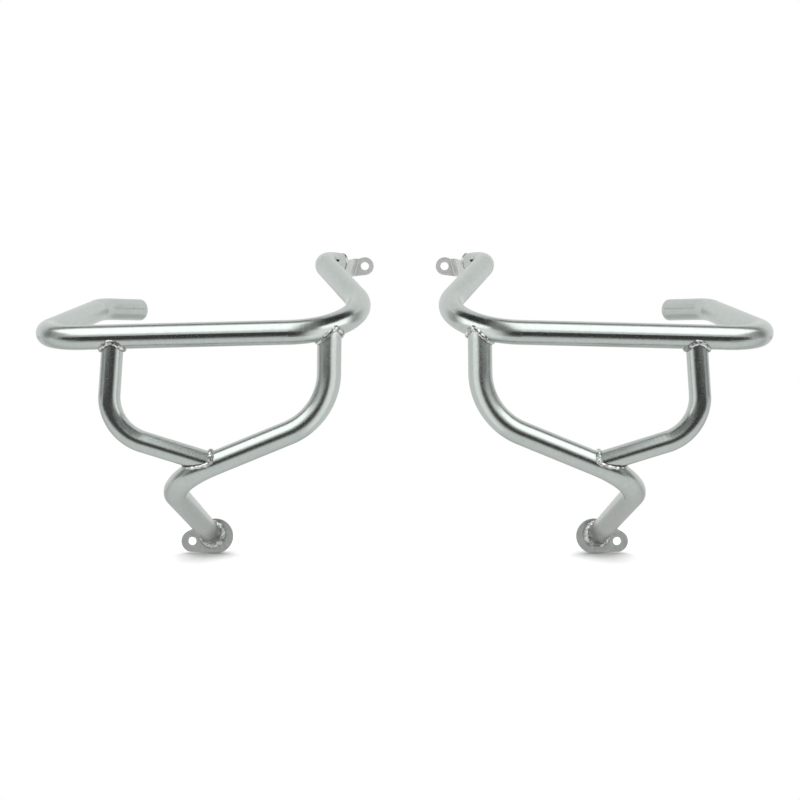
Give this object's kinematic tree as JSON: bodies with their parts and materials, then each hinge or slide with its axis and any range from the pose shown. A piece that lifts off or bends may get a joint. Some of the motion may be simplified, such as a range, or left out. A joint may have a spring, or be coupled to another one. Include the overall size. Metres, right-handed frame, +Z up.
{
  "type": "motorcycle crash bars",
  "caption": "Mirrored pair of bent steel tube guards that wrap the front corners of an engine, each with a bent down leg, a brace, a bolted lower plate and a folded upper tab.",
  "frame": {"origin": "midway between the two lower bolt holes, on the rear mounting faces", "axes": "+X across the machine towards the bar on the right of the picture, +Y backwards from the front runs to the mounting faces, +Z up"},
  "size_m": [0.7738, 0.254, 0.3596],
  "materials": {
    "tube_steel": "satin, bead blasted",
    "plate_steel": "satin, bead blasted",
    "weld_steel": "bright weld metal"
  },
  "bodies": {
    "root": {"left_hoop": "tube_steel", "left_tip_cap": "tube_steel", "left_closing_disc": "plate_steel", "left_leg": "tube_steel", "left_brace": "tube_steel", "left_lower_plate": "plate_steel", "left_upper_tab": "plate_steel", "left_hoop_leg_weld": "weld_steel", "left_hoop_brace_weld": "weld_steel", "left_brace_leg_weld": "weld_steel", "left_foot_weld": "weld_steel", "left_disc_weld": "weld_steel", "left_tab_weld": "weld_steel", "left_plug_weld": "weld_steel", "right_hoop": "tube_steel", "right_tip_cap": "tube_steel", "right_closing_disc": "plate_steel", "right_leg": "tube_steel", "right_brace": "tube_steel", "right_lower_plate": "plate_steel", "right_upper_tab": "plate_steel", "right_hoop_leg_weld": "weld_steel", "right_hoop_brace_weld": "weld_steel", "right_brace_leg_weld": "weld_steel", "right_foot_weld": "weld_steel", "right_disc_weld": "weld_steel", "right_tab_weld": "weld_steel", "right_plug_weld": "weld_steel"}
  },
  "joints": []
}
